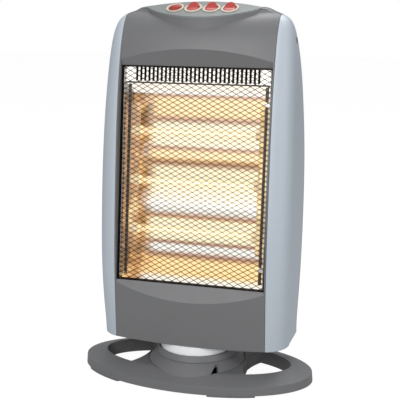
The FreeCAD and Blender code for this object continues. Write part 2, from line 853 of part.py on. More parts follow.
def side_panel(name, side):
    reach = value("beyond")
    start = value(side_edge) if side > 0 else -value(side_edge) - reach
    field = solid(f"{name}_field", Part.makeBox(reach, reach, reach, Vector(start, -reach / 2, 0)))
    lugs = []
    tall = value("boss_height")
    deep = value("boss_depth")
    start = value("seam_half - boss_inset") if side > 0 else -value("head_half_width")
    length = value("head_half_width - seam_half + boss_inset")
    root_start = value(side_edge) if side > 0 else -value("head_half_width")
    root_length = value(f"head_half_width - {side_edge}")
    for number in BOSS_SECTIONS:
        rear = section_rear(number) - value("head_wall")
        low = section_height(number) - tall / 2
        block = Part.makeBox(length, 2 * deep, tall, Vector(start, rear - deep, low))
        root = Part.makeBox(root_length, 2 * deep, tall, Vector(root_start, rear - deep, low))
        lugs.append(common(f"{name}_lug_{number}", boss_room, solid(f"{name}_block_{number}", block)))
        lugs.append(common(f"{name}_root_{number}", boss_root, solid(f"{name}_root_block_{number}", root)))
    wide = value("finger_notch_width")
    bite = value("finger_notch_depth")
    edge = side * value("head_half_width") * HEAD_SECTION_SHARES[NOTCH_SECTION][1]
    rear = section_rear(NOTCH_SECTION) - value("rear_round")
    notch = Part.makeBox(
        2 * wide,
        bite + value("finger_notch_past"),
        value("finger_notch_height"),
        Vector(edge - wide, rear - bite, section_height(NOTCH_SECTION) - value("finger_notch_height")),
    )
    panel = fuse(f"{name}_blank", common(f"{name}_skin", head_shell, field), *lugs)
    return cut(name, panel, rear_screw_holes, solid(f"{name}_notch", notch))


boss_room = head_solid("boss_room", value("head_wall + seam_gap"), value("head_bottom - overrun"))
boss_root = head_solid("boss_root", value("head_wall / 2"), value("head_bottom - overrun"))
rear_screw_across = value("seam_half - boss_inset / 2")
rear_spots = [
    Placement(
        Vector(side * rear_screw_across, section_rear(number), section_height(number)),
        Rotation(Vector(1, 0, 0), -90),
    )
    for number in BOSS_SECTIONS
    for side in (-1, 1)
]
rear_screw_hole = fuse(
    "rear_screw_hole",
    rod("rear_screw_way", screw_hole, "screw_length", ("0", "0", "-screw_length")),
    rod("rear_screw_seat", "screw_head_radius + fit_clearance", "overrun", ("0", "0", "0")),
)
rear_screw_holes = spread("rear_screw_holes", rear_screw_hole, rear_spots)
rear_screws = spread("rear_screws", screw("rear_screw", "screw_length"), rear_spots)
side_panel_left = side_panel("side_panel_left", -1)
side_panel_right = side_panel("side_panel_right", 1)

# Rear cover with louvres and the hole of the cable gland.
louvres = [
    box(
        f"louvre_{number}",
        ("-louvre_half_width", "rear_split", f"louvre_start + {number} * louvre_pitch"),
        ("2 * louvre_half_width", "beyond", "louvre_height"),
    )
    for number in range(LOUVRES)
]
gland_y = section_rear(GLAND_SECTION)
gland_z = section_height(GLAND_SECTION)
gland_spot = Placement(Vector(0, gland_y, gland_z), Rotation(Vector(1, 0, 0), -90))
gland_way = fuse(
    "gland_way",
    rod("gland_hole", "gland_radius + fit_clearance", "gland_inset", ("0", "0", "-gland_inset")),
    rod("gland_seat", "gland_flange_radius + fit_clearance", "gland_flange", ("0", "0", "0")),
)
gland_opening = spread("gland_opening", gland_way, [gland_spot])
rear_block = box(
    "rear_block", (f"-{middle_half}", "rear_split + seam_gap", "0"), (f"2 * {middle_half}", "beyond", "beyond")
)
rear_cover = cut(
    "rear_cover",
    common("rear_skin", head_shell, rear_block),
    rear_screw_holes,
    gland_opening,
    *louvres,
)
gland_blank = turned(
    "gland_blank",
    [
        ("gland_bore", "-gland_inset"),
        ("gland_radius", "-gland_inset"),
        ("gland_radius", "0"),
        ("gland_flange_radius", "0"),
        ("gland_flange_radius", "gland_flange"),
        ("gland_bore", "gland_flange"),
    ],
)
cable_gland = spread("cable_gland", gland_blank, [gland_spot])

# Bottom pan that closes the head and sits on the turntable disc.
pan_room = head_solid("pan_room", value("head_wall + pan_gap"), value("head_bottom - overrun"))
bottom_pan = cut(
    "bottom_pan",
    common("pan_blank", pan_room, across("pan_slice", "-beyond / 2", "beyond / 2", "head_bottom", "pan_thickness")),
    rod("pan_bore", turning_hole, "pan_thickness", ("0", "0", "head_bottom")),
    shaft_way,
    disc_screw_holes,
)

# Swing motor on a bracket that bridges the spindle nut.
outer_leg = "bracket_half_span"
inner_leg = "(bracket_half_span - bracket_gauge)"
bracket_blank = slab(
    "bracket_blank",
    "YZ_Plane",
    [
        (f"-{outer_leg}", "0"),
        (f"-{outer_leg}", "bracket_rise"),
        (outer_leg, "bracket_rise"),
        (outer_leg, "0"),
        (inner_leg, "0"),
        (inner_leg, "bracket_rise - bracket_gauge"),
        (f"-{inner_leg}", "bracket_rise - bracket_gauge"),
        (f"-{inner_leg}", "0"),
    ],
    "bracket_length",
)
place(bracket_blank, (pinion_orbit, "0", pan_top))
motor_bracket = cut("motor_bracket", bracket_blank, shaft_way)
swing_motor = cut(
    "swing_motor",
    rod("motor_can", "motor_radius", "motor_height", (pinion_orbit, "0", bracket_top)),
    rod("motor_bearing", "shaft_radius + running_clearance", "motor_socket + running_clearance",
        (pinion_orbit, "0", bracket_top)),
)

# Electrical pieces that stand on the pan.
terminal_block = box(
    "terminal_block",
    ("-terminal_offset - terminal_length / 2", "-terminal_width / 2", pan_top),
    ("terminal_length", "terminal_width", "terminal_height"),
)
tilt_switch = box(
    "tilt_switch",
    ("-terminal_offset - tilt_switch_side / 2", "terminal_width / 2 + tilt_switch_gap", pan_top),
    ("tilt_switch_side", "tilt_switch_side", "tilt_switch_height"),
)


def lean(item):
    """Stand a piece that was drawn upright in the window's own frame: depth along Y, height along Z."""
    item.Placement = Placement(Vector(), Rotation(Vector(-1, 0, 0), value("window_lean")))
    item.setExpression("Placement.Rotation.Angle", text("window_lean"))
    place(item, ("0", guard_y, "window_bottom"))
    return item


# Guard: a rim with a diamond mesh behind it.
guard_half = "(window_half - guard_gap)"
guard_low = "guard_gap"
guard_tall = "(window_height - 2 * guard_gap)"
guard_rim = lean(
    cut(
        "guard_rim",
        box("rim_blank", (f"-{guard_half}", "0", guard_low), (f"2 * {guard_half}", "guard_rim_thickness", guard_tall)),
        box(
            "rim_opening",
            (f"guard_bar - {guard_half}", "0", f"{guard_low} + guard_bar"),
            (f"2 * ({guard_half} - guard_bar)", "guard_rim_thickness", f"{guard_tall} - 2 * guard_bar"),
        ),
    )
)


def mesh_face():
    """A flat sheet pierced by staggered diamonds."""
    half = value(guard_half)
    low = value(guard_low)
    tall = value(guard_tall)
    bar = value("guard_bar")
    depth = value("guard_rim_thickness")
    wide = 2 * (half - bar) / MESH_COLUMNS
    high = (tall - 2 * bar) / MESH_ROWS
    strand = value("guard_strand")
    corners = [(-half, low), (half, low), (half, low + tall), (-half, low + tall)]
    wires = [Part.makePolygon([Vector(x, depth, z) for x, z in corners + corners[:1]])]
    for shift in (0, 1):
        for column in range(MESH_COLUMNS - shift):
            for row in range(MESH_ROWS - shift):
                x = bar - half + (column + (1 + shift) / 2) * wide
                z = low + bar + (row + (1 + shift) / 2) * high
                reach_x = (wide - strand * math.hypot(wide, high) / high) / 2
                reach_z = reach_x * high / wide
                ends = [(x - reach_x, z), (x, z - reach_z), (x + reach_x, z), (x, z + reach_z)]
                wires.append(Part.makePolygon([Vector(a, depth, b) for a, b in ends + ends[:1]]))
    return Part.Face(wires, "Part::FaceMakerBullseye")


guard_mesh = lean(solid("guard_mesh", mesh_face().extrude(Vector(0, value("guard_mesh_thickness"), 0))))

# Reflector: one bent sheet with a trough behind each lamp and a slotted strip along its top.
reflector_half = "(upright_half - reflector_gap)"


def at(share):
    return f"{share} * window_height"


bends = [
    ("strip_depth", at(REFLECTOR_FOOT_SHARE)),
    ("reflector_depth", at(REFLECTOR_LOW_SHARE)),
    ("reflector_depth", at(LAMP_SHARES[0])),
    ("ridge_depth", at(RIDGE_SHARES[0])),
    ("reflector_depth", at(LAMP_SHARES[1])),
    ("ridge_depth", at(RIDGE_SHARES[1])),
    ("reflector_depth", at(LAMP_SHARES[2])),
    ("reflector_depth", at(REFLECTOR_HIGH_SHARE)),
    ("strip_depth", at(REFLECTOR_BROW_SHARE)),
    ("strip_depth", f"{at(REFLECTOR_BROW_SHARE)} + strip_height"),
]
behind = [(f"{depth} + sheet_gauge", height) for depth, height in reversed(bends)]
reflector_blank = slab("reflector_blank", "YZ_Plane", bends + behind, f"2 * {reflector_half}")
strip_slots = [
    box(
        f"strip_slot_{number}",
        (
            f"({number} - {STRIP_SLOTS - 1} / 2) * strip_slot_pitch - strip_slot_width / 2",
            "strip_depth - overrun",
            f"{at(REFLECTOR_BROW_SHARE)} + strip_height - strip_slot_height - strip_edge",
        ),
        ("strip_slot_width", "2 * overrun + sheet_gauge", "strip_slot_height"),
    )
    for number in range(STRIP_SLOTS)
]
reflector = lean(cut("reflector", reflector_blank, *strip_slots))
lamp_hole = "cap_radius + cap_hole_gap"


def lamp_rods(name, radius, length, start):
    """One rod along X at the axis of every lamp."""
    return [
        rod(f"{name}_{number}", radius, length, (start, "lamp_depth", at(share)), axis="x")
        for number, share in enumerate(LAMP_SHARES)
    ]


# Flared ends of the reflector, clear of the bent sheet by the gap between them.
end_back = "(lamp_depth + cap_radius / 2)"


def reflector_end(name, sign):
    front_x = f"{sign}({reflector_half} - sheet_gauge)"
    back_x = f"{sign}({reflector_half} - sheet_gauge - end_flare)"
    blank = slab(
        f"{name}_blank",
        "XY_Plane",
        [
            (front_x, "strip_depth + sheet_gauge + reflector_gap"),
            (f"{front_x} {sign} sheet_gauge", "strip_depth + sheet_gauge + reflector_gap"),
            (f"{back_x} {sign} sheet_gauge", end_back),
            (back_x, end_back),
        ],
        f"{at(REFLECTOR_HIGH_SHARE)} - {at(REFLECTOR_LOW_SHARE)} - 2 * end_margin",
    )
    place(blank, ("0", "0", f"({at(REFLECTOR_HIGH_SHARE)} + {at(REFLECTOR_LOW_SHARE)}) / 2"))
    holes = lamp_rods(f"{name}_hole", lamp_hole, f"2 * {reflector_half}", f"-{reflector_half}")
    return lean(cut(name, blank, *holes))


reflector_end_left = reflector_end("reflector_end_left", "-")
reflector_end_right = reflector_end("reflector_end_right", "+")

# Lamps: quartz tubes, a straight filament in each, and ceramic caps held by the uprights.
filament_half = "(lamp_half_length + cap_bore_depth)"
tubes = lamp_rods("tube", "lamp_radius", f"2 * {filament_half}", f"-{filament_half}")
tube_bores = lamp_rods("tube_bore", "lamp_radius - lamp_wall", f"2 * {filament_half}", f"-{filament_half}")
lamp_tubes = lean(cut("lamp_tubes", fuse("tube_group", *tubes), *tube_bores))
filament_end = f"({filament_half} + fit_clearance)"
lamp_filaments = lean(
    fuse("lamp_filaments", *lamp_rods("filament", "filament_radius", f"2 * {filament_half}", f"-{filament_half}"))
)
cap_blanks = lamp_rods("cap_right", "cap_radius", "cap_length", "lamp_half_length") + lamp_rods(
    "cap_left", "cap_radius", "cap_length", "-lamp_half_length - cap_length"
)
cap_bores = lamp_rods("cap_bore", "lamp_radius + fit_clearance", f"2 * {filament_end}", f"-{filament_end}")
lamp_caps = lean(cut("lamp_caps", fuse("cap_group", *cap_blanks), *cap_bores))

# Uprights: sheet that stands on the pan, leans with the window above its foot and holds the caps.
upright_front = "(guard_rim_thickness + guard_mesh_thickness)"


def upright(name, start):
    blank = box(
        f"{name}_blank",
        (start, upright_front, "upright_lift"),
        ("upright_gauge", "upright_depth", "window_height - upright_top_gap - upright_lift"),
    )
    holes = lamp_rods(f"{name}_hole", "cap_radius + fit_clearance", "beyond", "-beyond / 2")
    leaning = lean(cut(f"{name}_leaning", blank, *holes))
    foot = box(
        f"{name}_foot",
        (start, f"{guard_y} + upright_foot_set", pan_top),
        ("upright_gauge", "upright_depth - upright_foot_set", f"window_bottom + upright_foot_set - {pan_top}"),
    )
    return fuse(name, leaning, foot)


upright_left = upright("upright_left", "-upright_half - upright_gauge")
upright_right = upright("upright_right", "upright_half")
cutout_back = "(reflector_depth + sheet_gauge)"
thermal_cutout = lean(
    fuse(
        "thermal_cutout",
        rod("cutout_can", "cutout_radius", "cutout_height", ("0", cutout_back, at(CUTOUT_SHARE)), axis="y"),
        *[
            box(
                f"cutout_blade_{label}",
                (
                    f"{sign} cutout_radius / 2 - blade_gauge / 2",
                    f"{cutout_back} + cutout_height",
                    f"{at(CUTOUT_SHARE)} - blade_width / 2",
                ),
                ("blade_gauge", "blade_length", "blade_width"),
            )
            for label, sign in (("left", "-"), ("right", ""))
        ],
    )
)

# Console on top, with its four switches.
console_plate = common(
    "console_plate",
    cut("console_blank", lens_solid("console_outer", 0, skirt_bottom, lens_top), above_slope("console_slope", 0)),
    above_slope("console_under", plate_drop),
)
switch_tilt = Rotation(Vector(1, 0, 0), value("console_tilt"))
switch_y = value("console_front + switch_setback * cos(console_tilt)")
switch_z = value("console_height + switch_setback * sin(console_tilt)")
switch_spots = [
    Placement(Vector((number - 1.5) * value("switch_pitch"), switch_y, switch_z), switch_tilt) for number in range(4)
]
clear_width = "(rocker_half_width + rocker_gap)"
clear_length = "(rocker_half_length + rocker_gap)"
neck_width = f"({clear_width} + bezel_wall)"
neck_length = f"({clear_length} + bezel_wall)"
switch_hole = oval(
    "switch_hole",
    f"{neck_width} + fit_clearance",
    f"{neck_length} + fit_clearance",
    "2 * (console_wall + overrun)",
    "-console_wall - overrun",
)
switch_console = cut("switch_console", console_plate, spread("switch_holes", switch_hole, switch_spots))
neck_bottom = "(-bezel_neck)"
pin_span = "(rocker_half_width + rocker_gap + rocker_pin_length)"
bezel = cut(
    "bezel",
    fuse(
        "bezel_blank",
        oval("bezel_neck_blank", neck_width, neck_length, "bezel_neck", neck_bottom),
        oval("bezel_lip", f"{neck_width} + bezel_flange", f"{neck_length} + bezel_flange", "bezel_flange_height", "0"),
    ),
    oval("bezel_opening", clear_width, clear_length, "bezel_neck + bezel_flange_height", neck_bottom),
    rod(
        "bezel_pin_hole",
        "rocker_pin_radius + running_clearance",
        f"2 * {pin_span}",
        (f"-{pin_span}", "0", "-rocker_pivot_depth"),
        axis="x",
    ),
)
switch_bezels = spread("switch_bezels", bezel, switch_spots)
switch_body = fuse(
    "switch_body",
    cut(
        "switch_case",
        box(
            "switch_block",
            (f"-{clear_width} - switch_body_wall", f"-{clear_length} - switch_body_wall",
             f"{neck_bottom} - switch_body_height"),
            (f"2 * ({clear_width} + switch_body_wall)", f"2 * ({clear_length} + switch_body_wall)",
             "switch_body_height"),
        ),
        oval("switch_well", clear_width, clear_length, "switch_cavity", f"{neck_bottom} - switch_cavity"),
    ),
    *[
        box(
            f"blade_{label}",
            ("-blade_width / 2", f"{sign} blade_pitch / 2 - blade_gauge / 2",
             f"{neck_bottom} - switch_body_height - blade_length"),
            ("blade_width", "blade_gauge", "blade_length"),
        )
        for label, sign in (("front", "-"), ("rear", ""))
    ],
)
switch_bodies = spread("switch_bodies", switch_body, switch_spots)
rocker_blank = slab(
    "rocker_blank",
    "YZ_Plane",
    [
        ("-rocker_half_length", "-rocker_depth"),
        ("-rocker_half_length", "rocker_tip_height"),
        ("0", "rocker_dip_height"),
        ("rocker_half_length", "rocker_tip_height"),
        ("rocker_half_length", "-rocker_depth"),
    ],
    "2 * rocker_half_width",
)
rocker = fuse(
    "rocker",
    common(
        "rocker_paddle",
        rocker_blank,
        oval("rocker_plan", "rocker_half_width", "rocker_half_length", "2 * rocker_half_length", "-rocker_half_length"),
    ),
    rod(
        "rocker_pin",
        "rocker_pin_radius",
        f"2 * ({pin_span} - running_clearance)",
        (f"running_clearance - {pin_span}", "0", "-rocker_pivot_depth"),
        axis="x",
    ),
)
rockers = []
for name, spot, sense in zip(
    ("rocker_swing", "rocker_low", "rocker_middle", "rocker_high"), switch_spots, (-1, 1, 1, 1)
):
    pivot = Vector(0, 0, -value("rocker_pivot_depth"))
    tip = Placement(Vector(), Rotation(Vector(1, 0, 0), sense * value("rocker_tilt")), pivot)
    rockers.append(spread(name, rocker, [spot.multiply(tip)]))


def bent_tube(points, radius, bend):
    """A round tube along straight runs joined by tangent arcs."""
    edges = []
    last = points[0]
    for before, corner, after in zip(points, points[1:], points[2:]):
        inward = (before - corner).normalize()
        outward = (after - corner).normalize()
        half_turn = (math.pi - inward.getAngle(outward)) / 2
        tangent = bend * math.tan(half_turn)
        start = corner + inward * tangent
        end = corner + outward * tangent
        centre = corner + (inward + outward).normalize() * (bend / math.cos(half_turn))
        middle = centre + (corner - centre).normalize() * bend
        edges += [Part.makeLine(last, start), Part.Arc(start, middle, end).toShape()]
        last = end
    edges.append(Part.makeLine(last, points[-1]))
    ring = Part.Wire(Part.makeCircle(radius, points[0], points[1] - points[0]))
    return Part.Wire(edges).makePipeShell([ring], True, False)


# Wires from the terminal block, up beside the left upright, to the nearest switch.
wire_x = value("-upright_half - upright_gauge - wire_side_gap - wire_radius")
switch_foot = switch_spots[0].multVec(Vector(0, 0, value(f"{neck_bottom} - switch_body_height")))
wire_corner = switch_spots[0].multVec(Vector(0, 0, value(f"{neck_bottom} - switch_body_height - wire_drop")))
wire_harness = solid(
    "wire_harness",
    bent_tube(
        [
            Vector(-value("terminal_offset"), 0, value(f"{pan_top} + terminal_height")),
            Vector(-value("terminal_offset"), 0, value("wire_low")),
            Vector(wire_x, value("lamp_depth"), value("wire_low")),
            Vector(wire_x, value("lamp_depth"), value("wire_high")),
            wire_corner,
            switch_foot,
        ],
        value("wire_radius"),
        value("wire_bend"),
    ),
)

NODES = [
    base_ring, base_cover, cover_screws, foot_pads, spindle, spindle_screws, spindle_nut, thrust_ring,
    fixed_gear, drive_pinion, turntable_disc, disc_screws, bottom_pan, spindle_washer, motor_bracket,
    swing_motor, front_panel, side_panel_left, side_panel_right, rear_cover, rear_screws, cable_gland,
    guard_rim, guard_mesh, reflector, reflector_end_left, reflector_end_right, lamp_tubes, lamp_filaments,
    lamp_caps, upright_left, upright_right, thermal_cutout, terminal_block, tilt_switch, wire_harness,
    switch_console, switch_bezels, switch_bodies, *rockers,
]
doc.recompute()
for item in doc.Objects:
    if "Invalid" in item.State or "Error" in item.State:
        raise RuntimeError(f"{item.Label} failed: {item.State}")
for node in NODES:
    if node.Shape.isNull() or not node.Shape.isValid():
        raise RuntimeError(f"{node.Label} has no valid shape")
    print(node.Label, len(node.Shape.Solids), round(node.Shape.Volume))
for node in NODES:
    node.Shape.exportStep(f"parts/{node.Label}.step")
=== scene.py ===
"""Looks of a free-standing halogen heater that swings on an oval ring base."""

import math

import bpy
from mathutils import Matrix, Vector


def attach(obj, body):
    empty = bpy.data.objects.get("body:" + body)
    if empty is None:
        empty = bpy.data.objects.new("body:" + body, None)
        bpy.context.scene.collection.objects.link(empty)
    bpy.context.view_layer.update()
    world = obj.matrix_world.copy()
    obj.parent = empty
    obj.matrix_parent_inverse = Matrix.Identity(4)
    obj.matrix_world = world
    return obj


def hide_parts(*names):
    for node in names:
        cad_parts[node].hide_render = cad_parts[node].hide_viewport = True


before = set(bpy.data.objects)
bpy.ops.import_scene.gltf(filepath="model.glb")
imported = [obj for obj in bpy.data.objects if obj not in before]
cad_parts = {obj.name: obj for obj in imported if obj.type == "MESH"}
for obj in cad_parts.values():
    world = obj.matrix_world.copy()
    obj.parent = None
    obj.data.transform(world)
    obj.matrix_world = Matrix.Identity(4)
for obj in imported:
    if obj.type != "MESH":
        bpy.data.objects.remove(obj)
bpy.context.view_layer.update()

bl_info = {
    "name": "Halogen heater",
    "version": (1, 0, 0),
    "blender": (4, 5, 0),
    "location": "View3D > Sidebar > Heater",
    "description": "Models and finishes a swinging halogen heater around its packed solids",
    "category": "Object",
}

# The window stands on its lower front edge and leans back.
WINDOW_FOOT = Vector((0, -0.0382, 0.1353))
WINDOW_LEAN = math.radians(6.8)
WINDOW_TALL = 0.289
WINDOW_HALF = 0.1025
LAMP_SHARES = (0.24, 0.47, 0.70)
LAMP_DEPTH = 0.020
COIL_LENGTH = 0.140

# Bars and tabs around the reflector: place across, depth, height, width and length of each. The bars are
# dark brown, partly heat-darkened steel and partly painted shade; the last, flat bar is a dark strip of
# painted shade along the fold just below the slots.
FRAME_AND_SHADE_BARS = (
    (-0.094, 0.010, 0.138, 0.0038, 0.262),
    (0.094, 0.010, 0.2575, 0.0042, 0.023),
    (0.094, 0.010, 0.1345, 0.0042, 0.209),
    (0.094, 0.010, 0.0155, 0.0042, 0.017),
    (0, 0.0045, 0.2668, 0.196, 0.0022),
)
FRAME_TABS = (
    (0.0945, 0.010, 0.2425, 0.0070, 0.0055),
    (0.0945, 0.010, 0.0270, 0.0070, 0.0050),
)
FRAME_GAUGE = 0.0022
FRAME_ROUND = 0.0006

# The guard, a grid of diamonds that is trimmed to the window.
GUARD_DEPTH = 0.0021
GUARD_CELLS = 62
GUARD_MARGIN = 0.001

# Where the painted light on the reflector changes from dim to bright, and where its slotted strip begins.
DIM_UNTIL = -0.084
BRIGHT_FROM = -0.056
STRIP_SHARE = 0.875

# Studio: name, place, size and power of each light, then floor and camera.
LIGHTS = (
    ("key", (-0.25, -1.9, 1.25), 1.3, 27),
    ("fill", (1.8, -0.9, 0.9), 1.2, 10),
    ("top", (0.1, 0.6, 2.0), 1.2, 26),
)
LIGHT_TARGET = (0, 0, 0.25)
FLOOR_SIZE = 12
FLOOR_GLOW = 0.82
CAMERA_PLACE = (0.3660, -1.1875, 0.5250)
CAMERA_AIM = (0.00383, 0.00117, 0.2438)
CAMERA_LENS = 85.3


def in_window(across, depth, rise):
    """A point of the leaning window, from its own width, depth and height."""
    lean_cos = math.cos(WINDOW_LEAN)
    lean_sin = math.sin(WINDOW_LEAN)
    return WINDOW_FOOT + Vector(
        (across, depth * lean_cos + rise * lean_sin, rise * lean_cos - depth * lean_sin)
    )


def colour(name, description, default):
    return bpy.props.FloatVectorProperty(
        name=name, description=description, subtype="COLOR", size=3, min=0, max=1, default=default
    )


def length(name, description, default):
    return bpy.props.FloatProperty(
        name=name, description=description, subtype="DISTANCE", unit="LENGTH", min=0, default=default
    )


class HeaterSizes(bpy.types.PropertyGroup):
    """Sizes that a user would change."""

    diamond_width: length("Diamond width", "Width of one diamond of the guard", 0.0122)
    diamond_height: length("Diamond height", "Height of one diamond of the guard", 0.0067)
    strand: length("Guard strand", "Thickness of the guard's strands", 0.00082)
    coil_radius: length("Coil radius", "Radius of the filament coils", 0.0011)
    coil_pitch: length("Coil pitch", "Distance between the turns of a filament coil", 0.0020)
    coil_wire: length("Coil wire", "Radius of the filament wire", 0.0003)
    edge_round: length("Edge rounding", "Radius with which moulded edges catch the light", 0.0009)


class HeaterColours(bpy.types.PropertyGroup):
    """Colours that a user would change."""

    dark_shell: colour("Dark shell", "Front panel of the head", (0.150, 0.151, 0.154))
    dark_base: colour("Dark base", "Ring base", (0.152, 0.153, 0.157))
    silver: colour("Silver", "Side panels", (0.435, 0.484, 0.534))
    console: colour("Console", "Switch console", (0.180, 0.195, 0.193))
    bezel: colour("Bezel", "Rims of the switches", (0.560, 0.500, 0.400))
    rocker: colour("Rocker", "Rocker switches", (0.440, 0.054, 0.045))
    nylon: colour("Nylon", "Turntable disc and gears", (0.860, 0.865, 0.875))
    # The strands are near black: partly the wire's own dark colour, partly painted shade of wire seen
    # against the glow.
    strand: colour("Strands", "Strands of the guard", (0.014, 0.010, 0.008))
    glow: colour("Glow", "Lit lamps", (1.000, 0.800, 0.480))
    # Orange and cream are painted light on the reflector: the lamps' glow on it.
    orange: colour("Orange", "Dim light at the left end of the reflector", (0.640, 0.330, 0.130))
    cream: colour("Cream", "Brightest light on the reflector", (1.000, 0.890, 0.620))


class Value:
    """A number or colour that varies over a surface."""

    def __init__(self, finish, socket):
        self.finish = finish
        self.socket = socket

    def maths(self, operation, first, second):
        return self.finish.node("ShaderNodeMath", {"operation": operation}, {0: first, 1: second})

    def __add__(self, other):
        return self.maths("ADD", self, other)

    def __sub__(self, other):
        return self.maths("SUBTRACT", self, other)

    def __mul__(self, other):
        return self.maths("MULTIPLY", self, other)

    def __gt__(self, other):
        return self.maths("GREATER_THAN", self, other)

    def __lt__(self, other):
        return self.maths("LESS_THAN", self, other)


class Finish:
    """One procedural material and the nodes that feed its shader."""

    def __init__(self, name, **constants):
        self.material = bpy.data.materials.new(name)
        self.material.use_nodes = True
        self.tree = self.material.node_tree
        self.shader = self.tree.nodes["Principled BSDF"]
        for key, given in constants.items():
            self.shader.inputs[key.replace("_", " ").title().replace("Ior", "IOR")].default_value = given

    def node(self, kind, settings=None, inputs=None, output=0):
        made = self.tree.nodes.new(kind)
        for key, setting in (settings or {}).items():
            if key == "stops":
                ramp = made.color_ramp
                while len(ramp.elements) < len(setting):
                    ramp.elements.new(1)
                for element, (place, tint) in zip(ramp.elements, setting):
                    element.position = place
                    element.color = (*tint, 1)
            else:
                setattr(made, key, setting)
        for key, given in (inputs or {}).items():
            self.feed(made.inputs[key], given)
        return Value(self, made.outputs[output])

    def feed(self, socket, given):
        if isinstance(given, Value):
            self.tree.links.new(given.socket, socket)
        else:
            socket.default_value = given

    def into(self, name, given):
        self.feed(self.shader.inputs[name], given)

    def place(self):
        return self.node("ShaderNodeTexCoord", output="Object")

    def axes(self):
        parts = self.node("ShaderNodeSeparateXYZ", inputs={0: self.place()})
        return [Value(self, parts.socket.node.outputs[number]) for number in range(3)]

    def toward_front(self):
        """1 on the faces that look to the front, 0 on the backs of sheets."""
        return self.node(
            "ShaderNodeSeparateXYZ", inputs={0: self.node("ShaderNodeTexCoord", output="Normal")}, output=1
        ) < 0.05

    def noise(self, scale, detail=2, roughness=0.5):
        return self.node(
            "ShaderNodeTexNoise",
            inputs={"Vector": self.place(), "Scale": scale, "Detail": detail, "Roughness": roughness},
        )

    def ramp(self, factor, stops):
        return self.node("ShaderNodeValToRGB", {"stops": stops}, {"Fac": factor})

    def mix(self, factor, first, second):
        sides = [side if isinstance(side, Value) else (*side, 1) for side in (first, second)]
        return self.node(
            "ShaderNodeMix", {"data_type": "RGBA"}, {0: factor, 6: sides[0], 7: sides[1]}, output=2
        )

    def bump(self, height, distance, strength, normal=None):
        inputs = {"Height": height, "Distance": distance, "Strength": strength}
        if normal:
            inputs["Normal"] = normal
        return self.node("ShaderNodeBump", inputs=inputs)

    def rounded(self, radius):
        return self.node("ShaderNodeBevel", {"samples": 4}, {"Radius": radius})


def sizes():
    return bpy.context.scene.heater_sizes


def colours():
    return bpy.context.scene.heater_colours


def moulded(name, tint, roughness, grain, depth):
    """Moulded plastic: fine spark grain, faint cloudiness, and edges that catch the light."""
    finish = Finish(name, specular_ior_level=0.45)
    cloud = finish.noise(14, 3)
    lift = finish.mix(cloud, [c * 0.94 for c in tint], [min(1, c * 1.05) for c in tint])
    finish.into("Base Color", lift)
    finish.into("Roughness", finish.noise(60) * 0.12 + (roughness - 0.06))
    spark = finish.noise(grain, 1)
    finish.into("Normal", finish.bump(spark, depth, 0.35, finish.rounded(sizes().edge_round)))
    return finish.material


def painted_silver(name, tint):
    """Silver paint: fine metal flake under a thin clear coat."""
    finish = Finish(name, metallic=0.18, coat_weight=0.12, coat_roughness=0.35)
    flake = finish.noise(2600, 1)
    cloud = finish.noise(9, 2)
    body = finish.mix(cloud, [c * 0.97 for c in tint], [c * 1.03 for c in tint])
    finish.into("Base Color", finish.mix(flake * 0.22, body, [min(1, c * 1.5) for c in tint]))
    finish.into("Roughness", flake * 0.10 + 0.48)
    finish.into("Normal", finish.bump(flake, 0.00004, 0.2, finish.rounded(sizes().edge_round)))
    return finish.material


def plain_metal(name, tint, roughness, scratch):
    """Worked metal with fine drawn lines."""
    finish = Finish(name, metallic=1.0)
    line = finish.noise(scratch, 2)
    finish.into("Base Color", finish.mix(line, [c * 0.9 for c in tint], tint))
    finish.into("Roughness", line * 0.16 + roughness)
    finish.into("Normal", finish.bump(line, 0.00003, 0.2))
    return finish.material


def red_plastic(name, tint):
    """Tinted translucent plastic of the rockers."""
    finish = Finish(name, roughness=0.25, subsurface_weight=0.15, coat_weight=0.3, coat_roughness=0.15)
    finish.shader.inputs["Subsurface Radius"].default_value = (0.004, 0.001, 0.001)
    cloud = finish.noise(120)
    finish.into("Base Color", finish.mix(cloud, [c * 0.85 for c in tint], tint))
    finish.into("Normal", finish.rounded(sizes().edge_round / 2))
    return finish.material


def window_rise(finish):
    """Height in the leaning window, 0 at its foot and 1 at its top."""
    across, depth, rise = finish.axes()
    lean_sin = math.sin(WINDOW_LEAN) / WINDOW_TALL
    lean_cos = math.cos(WINDOW_LEAN) / WINDOW_TALL
    start = WINDOW_FOOT.y * lean_sin + WINDOW_FOOT.z * lean_cos
    return across, depth * lean_sin + rise * lean_cos - start


